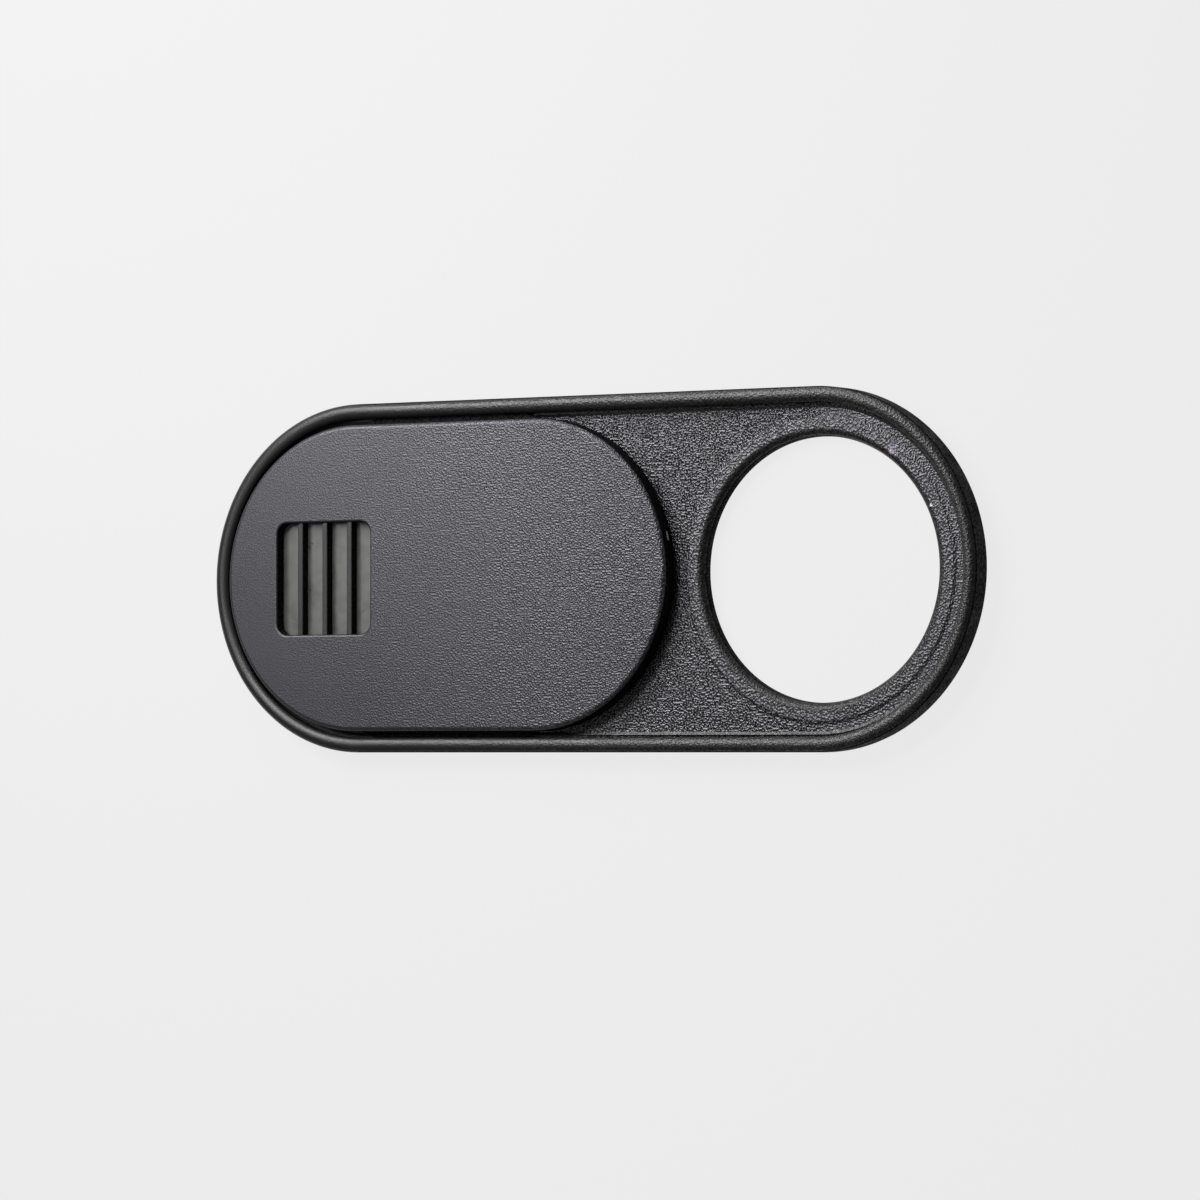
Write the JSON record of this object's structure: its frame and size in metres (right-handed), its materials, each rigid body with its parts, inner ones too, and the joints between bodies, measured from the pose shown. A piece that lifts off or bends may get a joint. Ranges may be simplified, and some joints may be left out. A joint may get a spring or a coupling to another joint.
{
  "type": "webcam cover slider",
  "caption": "Slim stick-on webcam cover: a round-ended base with a raised rim and a round camera window, and a shutter with a ribbed finger grip that slides in a track.",
  "frame": {"origin": "centre of the cover's outline, on the adhesive pad's sticking face", "axes": "+X along the length towards the camera window, +Y across the width, +Z out of the cover's face"},
  "size_m": [0.0226, 0.009, 0.0009],
  "materials": {
    "base_plastic": "moulded black ABS, spark-eroded grain on the floor, satin rim",
    "shutter_plastic": "moulded black ABS, fine even grain, smooth grip pocket",
    "adhesive": "tacky acrylic adhesive, semi-gloss"
  },
  "bodies": {
    "base": {"base_frame": "base_plastic", "adhesive_pad": "adhesive"},
    "shutter": {"shutter": "shutter_plastic"}
  },
  "joints": [
    {"name": "shutter_slide", "type": "slide", "parent": "base", "child": "shutter", "axis": [1, 0, 0], "range_m": [0, 0.00809]}
  ]
}
